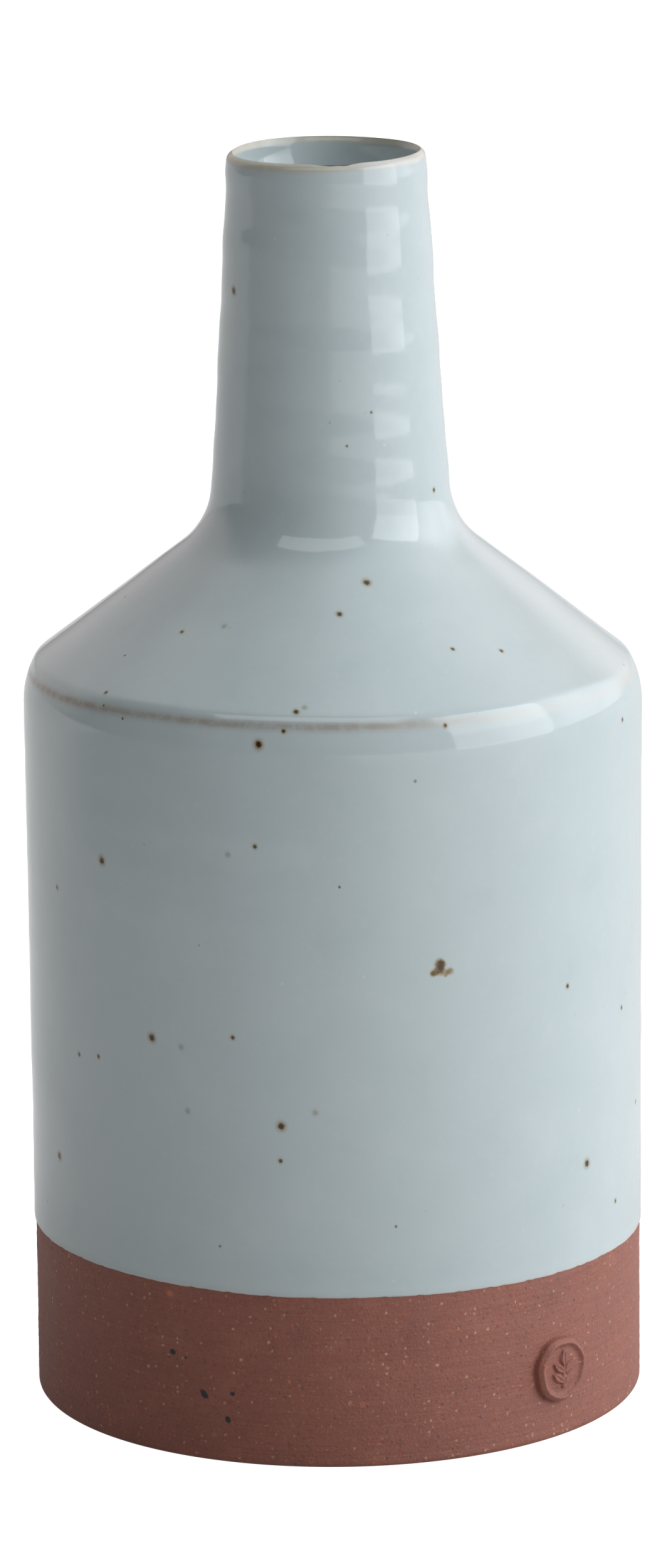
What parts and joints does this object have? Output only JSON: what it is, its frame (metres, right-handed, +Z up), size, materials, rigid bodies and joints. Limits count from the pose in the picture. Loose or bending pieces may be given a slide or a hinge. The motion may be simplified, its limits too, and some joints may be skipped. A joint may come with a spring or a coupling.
{
  "type": "ceramic bud vase",
  "caption": "Round stoneware bud vase with a straight-walled body, a conical shoulder and a slim tapering neck, glazed pale blue-grey above a bare red-brown foot.",
  "frame": {"origin": "centre of the foot ring, on the plane that the vase stands on", "axes": "+Z up along the axis that the vase was thrown on, -Y to its front, with the seal on the foot 45 degrees round from -Y towards +X"},
  "size_m": [0.09, 0.09, 0.1835],
  "materials": {
    "bare_clay": "unglazed red-brown stoneware with pale grog and a few iron specks, dull with a slight sheen",
    "blue_glaze": "smooth satin-gloss pale blue-grey glaze with brown iron specks, breaking brown on the ridge and the lip"
  },
  "bodies": {
    "root": {"clay_body": "bare_clay", "outer_glaze": "blue_glaze", "inner_glaze": "blue_glaze", "maker_seal": "bare_clay"}
  },
  "joints": []
}
